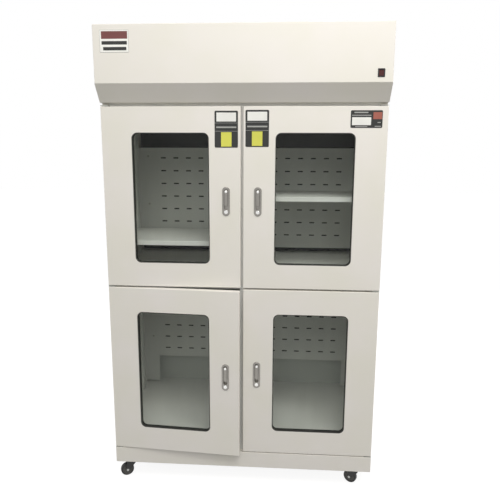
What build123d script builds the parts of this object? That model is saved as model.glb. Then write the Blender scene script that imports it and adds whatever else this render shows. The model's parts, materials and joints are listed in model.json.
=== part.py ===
"""Four-door ventilated storage cabinet for a laboratory, on swivel casters.

X is the width, the doors face -Y and Z is up. The origin is the centre of the footprint at floor
level. All sizes are millimetres. Heights grow from the floor upwards in the order of the pieces.
"""

from build123d import *
from math import asin, cos, radians, sin
import os

os.makedirs("parts", exist_ok=True)

# ---- Overall sizes ----
body_width = 1200.0
body_depth = 600.0  # from the door fronts to the rear panel
hood_overhang = 54.0  # the hood stands this far in front of the doors
sheet = 1.5  # wall of every folded steel panel
fold_share = 0.8  # outside radius of a folded edge as a share of the sheet

# ---- Heights, stacked on the casters ----
kick_height = 75.1
sill_gap = 4.0  # between the kick panel and the lower doors
lower_door_height = 782.6
middle_gap = 7.0  # between the lower and the upper doors
upper_door_height = 776.0
head_gap = 15.3  # between the upper doors and the hood
slant_rise = 70.4  # the hood's sloping underside climbs this much
hood_face_height = 227.7

# ---- Doors ----
door_thickness = 24.0
door_skin = 1.2
centre_gap = 11.0  # between a left and a right door
door_inset = 0.5  # outer door edge to the cabinet's side
door_edge_round = 2.5
door_air_gap = 5.0  # door back to the front frame, filled by the seal
window_height = 562.0
window_corner = 25.0
window_from_hinge_side = 128.5
window_from_lock_side = 134.5
ajar_angle = 4.0  # the lower left door stands open by this much

# ---- Door hinges ----
pivot_from_edge = 12.0
pivot_from_back = 14.0
hinge_pin_radius = 4.0
hinge_pin_length = 14.0
running_clearance = 0.05  # radial, between a pin or shaft and its bore
hinge_plate_width = 33.0
hinge_plate_clear = 2.0  # plate to door, up and down
hinge_block = 22.0  # solid corner of the door that holds the pin's bore

# ---- Glass and rubber ----
glass_thickness = 5.0
glass_from_back = 6.5  # middle of the pane to the door's back
gasket_width = 3.6
gasket_inset = 1.0  # gasket behind the door's front, and before its back
glass_in_gasket = 2.0
rubber_clearance = 0.2
seal_width = 12.0
seal_from_hinge_edge = 25.0  # clear of the door's corner as it swings
seal_from_door_edge = 5.0
seal_gap = 0.4  # seal face to the closed door

# ---- Door handle and lock ----
handle_from_centre = 68.0  # handle axis to the cabinet's middle
handle_drop = 7.0  # handle centre below the door's centre
handle_width = 33.0
handle_height = 125.0
handle_flange = 3.0
handle_edge_round = 1.8
bowl_width = 25.0
bowl_height = 113.0
bowl_depth = 13.0
bowl_clearance = 0.5
pocket_width = 18.6
pocket_top = 53.5  # above the handle's centre
pocket_bottom = 35.0  # below the handle's centre
pocket_depth = 11.0  # behind the door's front face
lever_width = 16.0
lever_thickness = 7.0
lever_edge_round = 3.1
lever_proud = 3.5  # lever front above the flange
lever_top = 50.0
lever_bottom = 20.0
lever_pivot_height = 42.0  # above the handle's centre
lever_pin_radius = 2.0
lever_boss_radius = 4.5
lever_boss_width = 12.0
lock_drop = 45.0  # lock centre below the handle's centre
lock_radius = 8.0
lock_proud = 3.0
lock_edge_round = 1.2
lock_tail = 2.0  # behind the bowl
key_slot_width = 2.0
key_slot_length = 9.0
key_slot_depth = 3.0
cam_thickness = 2.0
cam_length = 22.0
cam_width = 10.0

# ---- Frame and floors ----
stile_width = 30.0  # front return of each side panel
base_plate_thickness = 3.0
lower_floor_rise = 80.9  # floor top above the lower doors' bottom edge
middle_floor_rise = 62.3  # floor top above the upper doors' bottom edge
middle_apron = 131.0  # height of the rail in front of the middle floor
head_apron = 80.0
ceiling_drop = 13.0  # ceiling below the hood's lower edge
mullion_width = 50.0
mullion_depth = 24.0
intake_width = 520.0
intake_from_upright = 30.0  # clear of the slotted uprights, front and rear
intake_corner = 20.0

# ---- Rear air baffles ----
air_duct_depth = 55.0  # from the baffles' face to the rear panel's outer face
baffle_sheet = 1.2
baffle_side_clearance = 0.3
air_slot_length = 28.0
air_slot_width = 7.0
air_slot_pitch_x = 67.0
air_slot_pitch_z = 67.4
air_slot_columns = 6
air_slot_from_side = 303.5  # middle of each group of columns to the cabinet's side
air_slot_margin = 30.0  # least height between the top row's middle and the baffle's top edge
upper_baffle_rise = 27.0  # lower edge above the middle floor
upper_baffle_height = 526.0
upper_slots_rise = 68.6  # lowest row above the baffle's lower edge
upper_screws_rise = 229.0  # lower screws above the baffle's lower edge
upper_screws_drop = 44.0  # upper screws below the baffle's top edge
lower_baffle_rise = 8.0  # lower edge above the lower floor
lower_slots_rise = 48.6  # lowest row above the cut-out
lower_screws_rise = 117.0  # lower screws above the cut-out
lower_screws_drop = 129.2  # upper screws below the baffle's top edge
baffle_cutout_height = 152.0
baffle_cutout_from_side = 85.0
baffle_screw_from_side = 55.0
baffle_screw_radius = 3.0
baffle_screw_head = 6.0
baffle_screw_head_height = 3.0
screw_head_round = 1.8

# ---- Slotted uprights, shelves and clips ----
upright_width = 40.0
upright_stand = 20.0  # how far a side upright stands off the wall
front_upright_gap = 7.0  # behind the centre posts
upright_slot_width = 4.0
upright_slot_height = 14.0
upright_slot_pitch = 50.5
upright_slot_start = 14.0  # first slot's lower end above the compartment's floor
shelf_front_gap = 2.0  # behind the centre posts
shelf_rear_gap = 75.0  # in front of the baffle
shelf_lip = 20.0
shelf_side_gap = 1.0
left_shelf_slot = 2  # slot that carries the shelf, counted from the floor
right_shelf_slot = 6
clip_width = 16.0
clip_reach = 12.0
clip_thickness = 2.5
clip_height = 13.0
clip_hook = 3.0
clip_hook_width = 3.4
clip_hook_height = 8.0

# ---- Hood, filter and fan ----
hood_edge_round = 3.0
filter_width = 560.0
filter_depth = 380.0
filter_height = 108.0
filter_wall = 12.0
filter_recess = 6.0
pleat_pitch = 10.0
pleat_width = 5.0
seat_clearance = 0.3
plenum_height = 60.0
fan_radius = 125.0
fan_wall = 2.0
fan_tip_gap = 5.0
fan_motor_radius = 45.0
fan_motor_height = 54.0
fan_motor_lift = 26.0  # motor underside above the plenum
fan_struts = 3
fan_strut_width = 14.0
fan_strut_height = 6.0
fan_shaft_radius = 5.0
fan_shaft_depth = 30.0
fan_blades = 7
fan_blade_chord = 20.8
fan_blade_thickness = 2.5
fan_blade_pitch = 35.0
fan_hub_gap = 4.0
fan_hub_radius = 40.0
fan_hub_height = 26.0
fan_edge_round = 4.0
outlet_size = 250.0  # round field of exhaust slots in the hood's top
outlet_slot_pitch = 16.0
outlet_slot_width = 9.0
louvre_length = 90.0
louvre_height = 6.0
louvre_columns = 6
louvre_rows = 5
louvre_pitch_x = 120.0
louvre_pitch_z = 16.0
louvre_drop = 110.0  # louvre field's middle below the hood's top

# ---- Rocker switch and power inlet ----
switch_from_side = 47.4
switch_drop = 192.6  # below the hood's top
bezel_width = 28.3
bezel_height = 33.0
bezel_flange = 2.0
bezel_edge_round = 0.8
bezel_body_width = 24.0
bezel_body_height = 28.0
bezel_body_depth = 14.0
rocker_width = 19.0
rocker_height = 23.0
rocker_depth = 10.0
rocker_tilt = 8.0
rocker_clearance = 0.6
rocker_pin_radius = 1.5
inlet_from_side = 120.0
inlet_drop = 198.1  # below the hood's top
inlet_width = 27.0
inlet_tall = 20.0
inlet_depth = 24.0
inlet_flange_width = 50.0
inlet_flange_tall = 24.0
inlet_flange_thickness = 2.5
inlet_pocket_depth = 16.0
inlet_wall = 2.0
inlet_blade_width = 2.0
inlet_blade_tall = 4.0
inlet_blade_length = 10.0
inlet_blade_pitch = 7.0
inlet_blade_drop = 1.0  # outer blades below the socket's middle
inlet_earth_rise = 2.0  # middle blade above it

# ---- Casters ----
caster_from_side = 62.0
caster_from_front = 44.0
caster_from_rear = 60.0
caster_plate_x = 76.0
caster_plate_y = 62.0
caster_plate_thickness = 3.0
caster_plate_corner = 8.0
caster_race_radius = 21.0
caster_race_height = 6.0
caster_race_gap = 0.4
kingpin_radius = 5.0
kingpin_head_radius = 8.0
kingpin_head_height = 3.0
fork_web = 4.0
fork_width = 32.0
fork_leg = 3.5
fork_back = 17.0
fork_shoulder = 12.0  # height of the fork's rear edge
fork_axle_round = 9.0
fork_side_gap = 0.3
caster_trail = 24.0
wheel_top_gap = 12.6  # wheel to the fork's web
wheel_radius = 31.0
wheel_width = 22.0
wheel_round = 5.0
wheel_dish_radius = 20.0
wheel_dish_depth = 3.0
wheel_hub_radius = 9.0
axle_radius = 4.0
caster_angles = (205.5, 150.0, 62.0, 118.0)  # trail directions, front pair then rear pair

# ---- Levels and planes worked out from the sizes above ----
wheel_top = 2 * wheel_radius
fork_top = wheel_top + wheel_top_gap + fork_web
race_bottom = fork_top + caster_race_gap
base_z = race_bottom + caster_race_height + caster_plate_thickness
kick_top = base_z + kick_height
lower_door_bottom = kick_top + sill_gap
lower_door_top = lower_door_bottom + lower_door_height
upper_door_bottom = lower_door_top + middle_gap
upper_door_top = upper_door_bottom + upper_door_height
hood_bottom = upper_door_top + head_gap
hood_fold = hood_bottom + slant_rise
hood_top = hood_fold + hood_face_height

hood_front_y = bezel_flange - (body_depth + hood_overhang + bezel_flange) / 2
door_front_y = hood_front_y + hood_overhang
door_back_y = door_front_y + door_thickness
frame_y = door_back_y + door_air_gap
post_back_y = frame_y + mullion_depth
rear_y = door_front_y + body_depth
fan_y = (door_front_y + rear_y) / 2
side_x = body_width / 2
wall_x = side_x - sheet  # inner face of a side panel
rear_wall_y = rear_y - sheet  # inner face of the rear panel

lower_floor_z = lower_door_bottom + lower_floor_rise
middle_floor_z = upper_door_bottom + middle_floor_rise
ceiling_z = hood_bottom - ceiling_drop
roof_z = ceiling_z + sheet

baffle_y = rear_y - air_duct_depth
upper_baffle_bottom = middle_floor_z + upper_baffle_rise
upper_baffle_top = upper_baffle_bottom + upper_baffle_height
lower_baffle_bottom = lower_floor_z + lower_baffle_rise
lower_baffle_top = middle_floor_z - sheet - seat_clearance
baffle_cutout_top = lower_baffle_bottom + baffle_cutout_height
baffle_cutout_x = side_x - baffle_cutout_from_side
upper_screw_heights = (upper_baffle_bottom + upper_screws_rise, upper_baffle_top - upper_screws_drop)
lower_screw_heights = (baffle_cutout_top + lower_screws_rise, lower_baffle_top - lower_screws_drop)

upright_face_x = wall_x - upright_stand
front_upright_y = post_back_y + front_upright_gap
shelf_front_y = post_back_y + shelf_front_gap
shelf_rear_y = baffle_y - shelf_rear_gap
rear_upright_y = shelf_rear_y - upright_width
intake_front_y = front_upright_y + upright_width + intake_from_upright
intake_rear_y = rear_upright_y - intake_from_upright

door_edge_x = side_x - door_inset
door_width = door_edge_x - centre_gap / 2
door_middle_x = (door_edge_x + centre_gap / 2) / 2
window_width = door_width - window_from_hinge_side - window_from_lock_side
window_middle_x = door_edge_x - window_from_hinge_side - window_width / 2
pivot_x = door_edge_x - pivot_from_edge
pivot_y = door_back_y - pivot_from_back

switch_x = side_x - switch_from_side
switch_z = hood_top - switch_drop
inlet_x = side_x - inlet_from_side
inlet_z = hood_top - inlet_drop


def box_between(low, high, mode=Mode.ADD):
    """Adds a box to the current part from its lowest and highest corners."""
    size = [top - bottom for bottom, top in zip(low, high)]
    middle = [(top + bottom) / 2 for bottom, top in zip(low, high)]
    with Locations(tuple(middle)):
        Box(*size, mode=mode)


def finish(piece, name):
    """Labels a finished piece and writes it under its own name."""
    piece.label = name
    export_step(piece, f"parts/{name}.step")


# ---- Side panels: one folded sheet each, with a front return that forms the door frame ----
for side, side_name in ((-1, "left"), (1, "right")):
    with BuildPart() as side_panel:
        outer_x, inner_x, return_x = side * side_x, side * wall_x, side * (side_x - stile_width)
        box_between(
            (min(outer_x, inner_x), frame_y, base_z), (max(outer_x, inner_x), rear_wall_y, hood_bottom)
        )
        box_between(
            (min(outer_x, return_x), frame_y, base_z),
            (max(outer_x, return_x), frame_y + sheet, hood_bottom),
        )
    finish(side_panel.part, f"side_panel_{side_name}")

# ---- Rear panel, with louvres for the outgoing air and a cut-out for the power inlet ----
with BuildPart() as rear_panel:
    box_between((-side_x, rear_wall_y, base_z), (side_x, rear_y, hood_top - sheet))
    with BuildSketch(Plane.XZ.offset(-rear_y)):
        with Locations((0, hood_top - louvre_drop)):
            with GridLocations(louvre_pitch_x, louvre_pitch_z, louvre_columns, louvre_rows):
                SlotOverall(louvre_length, louvre_height)
        with Locations((inlet_x, inlet_z)):
            Rectangle(inlet_width + 2 * seat_clearance, inlet_tall + 2 * seat_clearance)
    extrude(amount=sheet, mode=Mode.SUBTRACT)
finish(rear_panel.part, "rear_panel")

# ---- Kick panel: a folded channel below the doors, flush with them ----
with BuildPart() as kick_panel:
    box_between((-side_x, door_front_y, base_z), (side_x, frame_y, kick_top))
    box_between(
        (-wall_x, door_front_y + sheet, base_z + sheet), (wall_x, frame_y, kick_top - sheet), Mode.SUBTRACT
    )
    front_edges = kick_panel.faces().sort_by(Axis.Y)[0].edges()
    fillet(front_edges, sheet * fold_share)
finish(kick_panel.part, "kick_panel")

# ---- Base plate that the casters are bolted to ----
with BuildPart() as base_plate:
    box_between(
        (-wall_x, frame_y + sheet, base_z), (wall_x, rear_wall_y, base_z + base_plate_thickness)
    )
finish(base_plate.part, "base_plate")


def floor_with_apron(top_z, apron_bottom, apron_top):
    """Adds a floor sheet between the walls and the flat apron that closes its front."""
    apron_x = side_x - stile_width
    box_between((-apron_x, frame_y, apron_bottom), (apron_x, frame_y + sheet, apron_top))
    box_between((-wall_x, frame_y + sheet, top_z - sheet), (wall_x, rear_wall_y, top_z))


# ---- Lower and middle floors ----
with BuildPart() as lower_floor:
    floor_with_apron(lower_floor_z, base_z, lower_floor_z)
finish(lower_floor.part, "lower_floor")

with BuildPart() as middle_floor:
    floor_with_apron(middle_floor_z, middle_floor_z - middle_apron, middle_floor_z)
finish(middle_floor.part, "middle_floor")

# ---- Roof sheet of the storage space, with the air intake below the filter ----
with BuildPart() as roof_panel:
    floor_with_apron(roof_z, hood_bottom - head_apron, hood_bottom)
    with BuildSketch(Plane.XY.offset(ceiling_z)):
        with Locations((0, (intake_front_y + intake_rear_y) / 2)):
            RectangleRounded(intake_width, intake_rear_y - intake_front_y, intake_corner)
    extrude(amount=sheet, mode=Mode.SUBTRACT)
finish(roof_panel.part, "roof_panel")

# ---- Centre posts: square tubes between the aprons that both doors of a pair close on ----
post_spans = (
    (lower_floor_z, middle_floor_z - middle_apron),
    (middle_floor_z, hood_bottom - head_apron),
)
with BuildPart() as centre_posts:
    for post_bottom, post_top in post_spans:
        with BuildSketch(Plane.XY.offset(post_bottom)):
            with Locations((0, frame_y + mullion_depth / 2)):
                Rectangle(mullion_width, mullion_depth)
                Rectangle(mullion_width - 2 * sheet, mullion_depth - 2 * sheet, mode=Mode.SUBTRACT)
        extrude(amount=post_top - post_bottom)
finish(centre_posts.part, "centre_posts")


# ---- Rear baffles: perforated sheets that hide the air duct in front of the rear panel ----
def air_slots(first_row_z, top_edge_z):
    """Adds both groups of air slots to the current sketch, with as many rows as the baffle takes."""
    rows = 1 + int((top_edge_z - air_slot_margin - first_row_z) // air_slot_pitch_z)
    group_x = side_x - air_slot_from_side
    middle_row_z = first_row_z + (rows - 1) * air_slot_pitch_z / 2
    with Locations((-group_x, middle_row_z), (group_x, middle_row_z)):
        with GridLocations(air_slot_pitch_x, air_slot_pitch_z, air_slot_columns, rows):
            SlotOverall(air_slot_length, air_slot_width)


def screw_places(heights):
    """Screw centres of one baffle as X, Z pairs."""
    screw_x = side_x - baffle_screw_from_side
    return [(side * screw_x, height) for side in (-1, 1) for height in heights]


baffle_half = wall_x - baffle_side_clearance
screw_hole = baffle_screw_radius + running_clearance
baffle_back_plane = Plane.XZ.offset(-(baffle_y + baffle_sheet))

with BuildPart() as baffle_upper:
    box_between(
        (-baffle_half, baffle_y, upper_baffle_bottom),
        (baffle_half, baffle_y + baffle_sheet, upper_baffle_top),
    )
    with BuildSketch(baffle_back_plane):
        air_slots(upper_baffle_bottom + upper_slots_rise, upper_baffle_top)
        with Locations(*screw_places(upper_screw_heights)):
            Circle(screw_hole)
    extrude(amount=baffle_sheet, mode=Mode.SUBTRACT)
finish(baffle_upper.part, "baffle_upper")

with BuildPart() as baffle_lower:
    box_between(
        (-baffle_half, baffle_y, lower_baffle_bottom),
        (baffle_half, baffle_y + baffle_sheet, lower_baffle_top),
    )
    box_between(
        (-baffle_cutout_x, baffle_y, lower_baffle_bottom),
        (baffle_cutout_x, baffle_y + baffle_sheet, baffle_cutout_top),
        Mode.SUBTRACT,
    )
    with BuildSketch(baffle_back_plane):
        air_slots(baffle_cutout_top + lower_slots_rise, lower_baffle_top)
        with Locations(*screw_places(lower_screw_heights)):
            Circle(screw_hole)
    extrude(amount=baffle_sheet, mode=Mode.SUBTRACT)
finish(baffle_lower.part, "baffle_lower")

# ---- Stand-off screws that hold the baffles on the rear panel ----
all_screws = screw_places(upper_screw_heights) + screw_places(lower_screw_heights)
with BuildPart() as baffle_screws:
    with BuildSketch(Plane.XZ.offset(-rear_wall_y)):
        with Locations(*all_screws):
            Circle(baffle_screw_radius)
    extrude(amount=rear_wall_y - baffle_y)
    with BuildSketch(Plane.XZ.offset(-baffle_y)):
        with Locations(*all_screws):
            Circle(baffle_screw_head)
    extrude(amount=baffle_screw_head_height)
    head_faces = baffle_screws.faces().filter_by(Axis.Y).sort_by(Axis.Y)[: len(all_screws)]
    fillet(head_faces.edges(), screw_head_round)
finish(baffle_screws.part, "baffle_screws")

# ---- Slotted uprights: channels on the walls and square tubes in the middle ----
compartments = ((lower_floor_z, middle_floor_z - sheet), (middle_floor_z, ceiling_z))
slot_reach = 2 * sheet  # how far a slot's cut goes to either side of the upright's face
with BuildPart() as shelf_uprights:
    for floor_z, top_z in compartments:
        for upright_y in (front_upright_y, rear_upright_y):
            for side in (-1, 1):
                low_x, high_x = sorted((side * upright_face_x, side * wall_x))
                in_low, in_high = sorted((side * (upright_face_x + sheet), side * wall_x))
                box_between((low_x, upright_y, floor_z), (high_x, upright_y + upright_width, top_z))
                box_between(
                    (in_low, upright_y + sheet, floor_z),
                    (in_high, upright_y + upright_width - sheet, top_z),
                    Mode.SUBTRACT,
                )
            half = upright_width / 2
            box_between((-half, upright_y, floor_z), (half, upright_y + upright_width, top_z))
            box_between(
                (-half + sheet, upright_y + sheet, floor_z),
                (half - sheet, upright_y + upright_width - sheet, top_z),
                Mode.SUBTRACT,
            )
    for floor_z, top_z in compartments:
        slot_count = int((top_z - floor_z - upright_slot_start) // upright_slot_pitch)
        slots_middle = (
            floor_z + upright_slot_start + (slot_count - 1) * upright_slot_pitch / 2 - upright_slot_height / 2
        )
        for upright_y in (front_upright_y, rear_upright_y):
            for face_x in (-upright_face_x, -upright_width / 2, upright_width / 2, upright_face_x):
                with BuildSketch(Plane.YZ.offset(face_x - slot_reach)):
                    with Locations((upright_y + upright_width / 2, slots_middle)):
                        with GridLocations(1, upright_slot_pitch, 1, slot_count):
                            Rectangle(upright_slot_width, upright_slot_height)
                extrude(amount=2 * slot_reach, mode=Mode.SUBTRACT)
finish(shelf_uprights.part, "shelf_uprights")

# ---- Shelves: trays with a lip folded down all round, one in each upper bay ----
shelf_outer_x = upright_face_x - shelf_side_gap
shelf_inner_x = upright_width / 2 + shelf_side_gap
shelves = ((-1, "left", left_shelf_slot), (1, "right", right_shelf_slot))


def carrier_height(slot_number):
    """Height at which a clip in the given slot of the upper bays carries a shelf."""
    return middle_floor_z + upright_slot_start + slot_number * upright_slot_pitch


for side, side_name, slot_number in shelves:
    lip_z = carrier_height(slot_number)
    low_x, high_x = sorted((side * shelf_inner_x, side * shelf_outer_x))
    with BuildPart() as shelf:
        box_between((low_x, shelf_front_y, lip_z), (high_x, shelf_rear_y, lip_z + shelf_lip))
        top_edges = shelf.faces().sort_by(Axis.Z)[-1].edges()
        fillet(top_edges, sheet * fold_share)
        box_between(
            (low_x + sheet, shelf_front_y + sheet, lip_z),
            (high_x - sheet, shelf_rear_y - sheet, lip_z + shelf_lip - sheet),
            Mode.SUBTRACT,
        )
    finish(shelf.part, f"shelf_{side_name}")

# ---- Shelf clips: small brackets that hook into a slot and carry the shelf's lip ----
with BuildPart() as shelf_clips:
    for side, side_name, slot_number in shelves:
        lip_z = carrier_height(slot_number)
        for upright_y in (front_upright_y, rear_upright_y):
            clip_y = upright_y + upright_width / 2
            for face_x, inward in ((upright_face_x, -1), (upright_width / 2, 1)):
                wall = side * face_x
                reach = side * (face_x + inward * clip_reach)
                back = side * (face_x + inward * clip_thickness)
                hook = side * (face_x - inward * clip_hook)
                low_y, high_y = clip_y - clip_width / 2, clip_y + clip_width / 2
                box_between(
                    (min(wall, reach), low_y, lip_z - clip_thickness), (max(wall, reach), high_y, lip_z)
                )
                box_between(
                    (min(wall, back), low_y, lip_z - clip_height), (max(wall, back), high_y, lip_z)
                )
                box_between(
                    (min(wall, hook), clip_y - clip_hook_width / 2, lip_z - clip_height),
                    (max(wall, hook), clip_y + clip_hook_width / 2, lip_z - clip_height + clip_hook_height),
                )
finish(shelf_clips.part, "shelf_clips")

# ---- Hood casing: top, front and pentagonal ends in one folded sheet, open below and behind ----
# The air leaves through a round field of slots in its top.
with BuildPart() as hood_casing:
    with BuildSketch(Plane.YZ.offset(-side_x)):
        with BuildLine():
            Polyline(
                (rear_wall_y, hood_bottom),
                (rear_wall_y, hood_top),
                (hood_front_y, hood_top),
                (hood_front_y, hood_fold),
                (door_front_y, hood_bottom),
                close=True,
            )
        make_face()
    extrude(amount=body_width)
    box_between((-side_x, rear_wall_y, hood_top - sheet), (side_x, rear_y, hood_top))
    front_face = hood_casing.faces().sort_by(Axis.Y)[0]
    fillet(front_face.edges(), hood_edge_round)
    with BuildSketch(Plane.YZ.offset(-wall_x)):
        with BuildLine():
            Polyline(
                (rear_y, hood_bottom - sheet),
                (rear_y, hood_top - sheet),
                (hood_front_y + sheet, hood_top - sheet),
                (hood_front_y + sheet, hood_bottom - sheet),
                close=True,
            )
        make_face()
    extrude(amount=2 * wall_x, mode=Mode.SUBTRACT)
    outlet_rows = int(outlet_size // outlet_slot_pitch)
    with BuildSketch(Plane.XY.offset(hood_top - sheet)):
        for row in range(outlet_rows):
            row_y = (row - (outlet_rows - 1) / 2) * outlet_slot_pitch
            half_chord = ((outlet_size / 2) ** 2 - row_y**2) ** 0.5
            with Locations((0, fan_y + row_y)):
                SlotOverall(2 * half_chord, outlet_slot_width)
    extrude(amount=sheet, mode=Mode.SUBTRACT)
    with BuildSketch(Plane.XZ.offset(-(hood_front_y + sheet))):
        with Locations((switch_x, switch_z)):
            Rectangle(bezel_body_width + 2 * seat_clearance, bezel_body_height + 2 * seat_clearance)
    extrude(amount=sheet, mode=Mode.SUBTRACT)
finish(hood_casing.part, "hood_casing")

# ---- Hood apron: the sloping underside and the short flat strip above the doors ----
slope = slant_rise / hood_overhang
slant_sheet = sheet * (1 + slope**2) ** 0.5  # the sloping sheet's thickness, measured upright
apron_end = wall_x - seat_clearance
apron_front_y = hood_front_y + sheet + seat_clearance
apron_front_z = hood_fold - (apron_front_y - hood_front_y) * slope
with BuildPart() as hood_apron:
    with BuildSketch(Plane.YZ.offset(-apron_end)):
        with BuildLine():
            Polyline(
                (frame_y + sheet, hood_bottom),
                (door_front_y, hood_bottom),
                (apron_front_y, apron_front_z),
                (apron_front_y, apron_front_z + slant_sheet),
                (door_front_y + (slant_sheet - sheet) / slope, hood_bottom + sheet),
                (frame_y + sheet, hood_bottom + sheet),
                close=True,
            )
        make_face()
    extrude(amount=2 * apron_end)
finish(hood_apron.part, "hood_apron")

# ---- Filter cartridge: a frame round pleated paper, seated over the intake ----
filter_z = roof_z + seat_clearance
filter_top = filter_z + filter_height
pleats_x = filter_width - 2 * filter_wall
pleats_y = filter_depth - 2 * filter_wall
with BuildPart() as filter_cartridge:
    with Locations((0, fan_y, filter_z + filter_height / 2)):
        Box(filter_width, filter_depth, filter_height)
    with Locations((0, fan_y, filter_z + filter_recess / 2)):
        Box(pleats_x, pleats_y, filter_recess, mode=Mode.SUBTRACT)
    with Locations((0, fan_y, filter_top - filter_recess / 2)):
        Box(pleats_x, pleats_y, filter_recess, mode=Mode.SUBTRACT)
    with BuildSketch(Plane.XY.offset(filter_z + filter_recess)):
        with Locations((0, fan_y)):
            with GridLocations(pleat_pitch, 1, int(pleats_x // pleat_pitch), 1):
                Rectangle(pleat_width, pleats_y - 2 * filter_recess)
    extrude(amount=2 * filter_recess, mode=Mode.SUBTRACT)
finish(filter_cartridge.part, "filter_cartridge")

# ---- Fan housing: plenum box on the filter, outlet collar and motor struts ----
plenum_z = filter_top + seat_clearance
plenum_top = plenum_z + plenum_height
collar_top = hood_top - sheet - seat_clearance
motor_z = plenum_top + fan_motor_lift
with BuildPart() as fan_housing:
    with Locations((0, fan_y, plenum_z + plenum_height / 2)):
        Box(filter_width, filter_depth, plenum_height)
    with Locations((0, fan_y, plenum_z + (plenum_height - sheet) / 2)):
        Box(filter_width - 2 * sheet, filter_depth - 2 * sheet, plenum_height - sheet, mode=Mode.SUBTRACT)
    with BuildSketch(Plane.XY.offset(plenum_top - sheet)):
        with Locations((0, fan_y)):
            Circle(fan_radius + fan_wall)
    extrude(amount=collar_top - plenum_top + sheet)
    with BuildSketch(Plane.XY.offset(plenum_top - sheet)):
        with Locations((0, fan_y)):
            Circle(fan_radius)
    extrude(amount=collar_top - plenum_top + sheet, mode=Mode.SUBTRACT)
    with BuildSketch(Plane.XY.offset(motor_z - fan_strut_height)):
        with Locations((0, fan_y)):
            with PolarLocations(fan_radius / 2, fan_struts):
                Rectangle(fan_radius + fan_wall, fan_strut_width)
    extrude(amount=fan_strut_height)
finish(fan_housing.part, "fan_housing")

# ---- Fan motor: a plain can on the struts with a bore for the shaft ----
motor_top = motor_z + fan_motor_height
with BuildPart() as fan_motor:
    with BuildSketch(Plane.XY.offset(motor_z)):
        with Locations((0, fan_y)):
            Circle(fan_motor_radius)
    extrude(amount=fan_motor_height)
    fillet(fan_motor.faces().sort_by(Axis.Z)[-1].edges(), fan_edge_round)
    with BuildSketch(Plane.XY.offset(motor_top)):
        with Locations((0, fan_y)):
            Circle(fan_shaft_radius + running_clearance)
    extrude(amount=-fan_shaft_depth, mode=Mode.SUBTRACT)
finish(fan_motor.part, "fan_motor")

# ---- Impeller: hub, pitched blades and the shaft that turns in the motor ----
hub_z = motor_top + fan_hub_gap
with BuildPart() as fan_impeller:
    with BuildSketch(Plane.XY.offset(hub_z)):
        with Locations((0, fan_y)):
            Circle(fan_hub_radius)
    extrude(amount=fan_hub_height)
    fillet(fan_impeller.faces().sort_by(Axis.Z)[-1].edges(), fan_edge_round)
    blade_root = fan_hub_radius / 2
    blade_reach = fan_radius - fan_tip_gap - blade_root
    with Locations((0, fan_y, hub_z + fan_hub_height / 2)):
        with PolarLocations(blade_root + blade_reach / 2, fan_blades):
            Box(blade_reach, fan_blade_thickness, fan_blade_chord, rotation=(fan_blade_pitch, 0, 0))
    shaft_z = motor_top - fan_shaft_depth + seat_clearance
    with BuildSketch(Plane.XY.offset(shaft_z)):
        with Locations((0, fan_y)):
            Circle(fan_shaft_radius)
    extrude(amount=hub_z - shaft_z)
finish(fan_impeller.part, "fan_impeller")

# ---- Rocker switch: a bezel in the hood's front and the rocker that tilts in it ----
# The rocker's pressed-out corner lies level with the bezel's face.
rocker_corner_angle = asin(rocker_depth / rocker_height) + radians(rocker_tilt)
rocker_axis_y = hood_front_y - bezel_flange + rocker_height / 2 * sin(rocker_corner_angle)
rocker_sweep = rocker_height / 2 + rocker_clearance
with BuildPart() as switch_bezel:
    with BuildSketch(Plane.XZ.offset(-hood_front_y)):
        with Locations((switch_x, switch_z)):
            RectangleRounded(bezel_width, bezel_height, bezel_flange)
    extrude(amount=bezel_flange)
    fillet(switch_bezel.faces().sort_by(Axis.Y)[0].edges(), bezel_edge_round)
    with BuildSketch(Plane.XZ.offset(-hood_front_y)):
        with Locations((switch_x, switch_z)):
            Rectangle(bezel_body_width, bezel_body_height)
    extrude(amount=-bezel_body_depth)
    pocket_low = (
        switch_x - rocker_width / 2 - rocker_clearance,
        hood_front_y - bezel_flange,
        switch_z - rocker_sweep,
    )
    pocket_high = (
        switch_x + rocker_width / 2 + rocker_clearance,
        hood_front_y + bezel_body_depth - sheet,
        switch_z + rocker_sweep,
    )
    box_between(pocket_low, pocket_high, Mode.SUBTRACT)
    with BuildSketch(Plane.YZ.offset(pocket_low[0] - sheet / 2)):
        with Locations((rocker_axis_y, switch_z)):
            Circle(rocker_pin_radius)
    extrude(amount=pocket_high[0] - pocket_low[0] + sheet)
finish(switch_bezel.part, "switch_bezel")

rocker_axis = Axis((switch_x, rocker_axis_y, switch_z), (1, 0, 0))
with BuildPart() as rocker:
    with BuildSketch(Plane.YZ.offset(switch_x - rocker_width / 2)):
        with Locations((rocker_axis_y, switch_z)):
            Circle(rocker_height / 2)
    extrude(amount=rocker_width)
    keep_front = rocker_axis_y - rocker_depth / 2
    keep_back = rocker_axis_y + rocker_depth / 2
    low_x, high_x = switch_x - rocker_width / 2, switch_x + rocker_width / 2
    for cut_y in (keep_front - rocker_height, keep_back):
        box_between(
            (low_x, cut_y, switch_z - rocker_height),
            (high_x, cut_y + rocker_height, switch_z + rocker_height),
            Mode.SUBTRACT,
        )
    with BuildSketch(Plane.YZ.offset(low_x)):
        with Locations((rocker_axis_y, switch_z)):
            Circle(rocker_pin_radius + running_clearance)
    extrude(amount=rocker_width, mode=Mode.SUBTRACT)
tilted_rocker = rocker.part.rotate(rocker_axis, rocker_tilt)
finish(tilted_rocker, "switch_rocker")

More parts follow.
